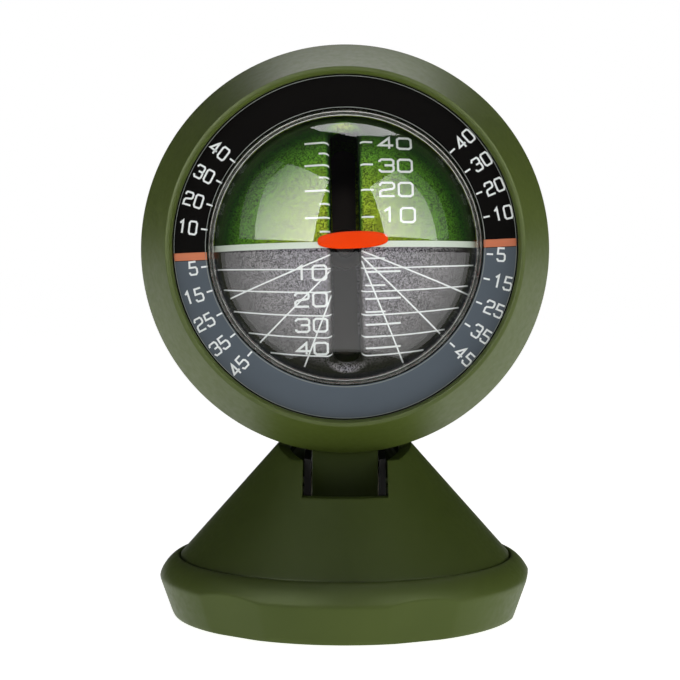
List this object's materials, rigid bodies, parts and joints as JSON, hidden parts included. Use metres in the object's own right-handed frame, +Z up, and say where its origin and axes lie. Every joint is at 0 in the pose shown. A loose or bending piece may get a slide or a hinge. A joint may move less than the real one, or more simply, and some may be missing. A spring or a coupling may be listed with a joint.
{
  "type": "inclinometer",
  "caption": "Dashboard inclinometer: a weighted ball in a gimbal inside a clear dome shows roll and pitch, on a head that tilts and turns on a conical stick-down base.",
  "frame": {"origin": "centre of the adhesive pad's underside, on the dashboard", "axes": "+Z up, +X to the reader's right, the dial faces -Y towards the reader"},
  "size_m": [0.071, 0.0658, 0.1001],
  "materials": {
    "olive_plastic": "satin moulded plastic",
    "foam_pad": "foam adhesive pad",
    "steel": "turned and plated",
    "nylon": "natural nylon",
    "dial_black": "fine matt",
    "clear_dome": "polished clear acrylic",
    "black_rubber": "moulded rubber",
    "capsule_plastic": "moulded plastic",
    "rim_plastic": "moulded plastic",
    "post_black": "black sleeve-coated rod",
    "pointer_orange": "fluorescent plastic",
    "brass": "turned",
    "ball_green": "metallic flake",
    "ball_grey": "metallic flake",
    "ballast": "cast"
  },
  "bodies": {
    "base": {"adhesive_pad": "foam_pad", "base_plate": "olive_plastic", "base_ring": "olive_plastic", "base_screws": "steel", "swivel_washer": "nylon", "pivot_washer": "steel", "pivot_screw": "steel"},
    "swivel": {"swivel_cone": "olive_plastic", "clevis_bracket": "olive_plastic", "bracket_screws": "steel", "hinge_screw": "steel", "hinge_nut": "steel", "hinge_washers": "steel", "friction_washers": "nylon"},
    "head": {"hinge_neck": "olive_plastic", "neck_screws": "steel", "rear_housing": "olive_plastic", "bezel": "olive_plastic", "bezel_screws": "steel", "dial_ring": "dial_black", "dome_lens": "clear_dome", "lens_gasket": "black_rubber", "capsule_bowl": "capsule_plastic", "rim_ring": "rim_plastic", "fill_plug": "nylon", "centre_post": "post_black", "post_nut": "steel", "rear_cap": "olive_plastic", "pointer_bar": "pointer_orange", "sleeve_clips": "steel"},
    "gimbal": {"gimbal_sleeve": "brass", "pitch_pins": "steel"},
    "ball": {"ball_upper_shell": "ball_green", "ball_lower_shell": "ball_grey", "pitch_bushes": "brass", "ball_weight": "ballast"}
  },
  "joints": [
    {"name": "base_swivel", "type": "hinge", "parent": "base", "child": "swivel", "pos_m": [0, 0, 0.01], "axis": [0, 0, 1], "continuous": true},
    {"name": "head_tilt", "type": "hinge", "parent": "swivel", "child": "head", "pos_m": [0, 0, 0.02], "axis": [-1, 0, 0], "range_deg": [-10, 23]},
    {"name": "ball_roll", "type": "hinge", "parent": "head", "child": "gimbal", "pos_m": [0, 0.00155, 0.06432], "axis": [0, -0.9994, 0.0349], "continuous": true},
    {"name": "ball_pitch", "type": "hinge", "parent": "gimbal", "child": "ball", "pos_m": [0, 0.00155, 0.06432], "axis": [0.9998, 0.0006, 0.0174], "range_deg": [-45, 45]}
  ]
}
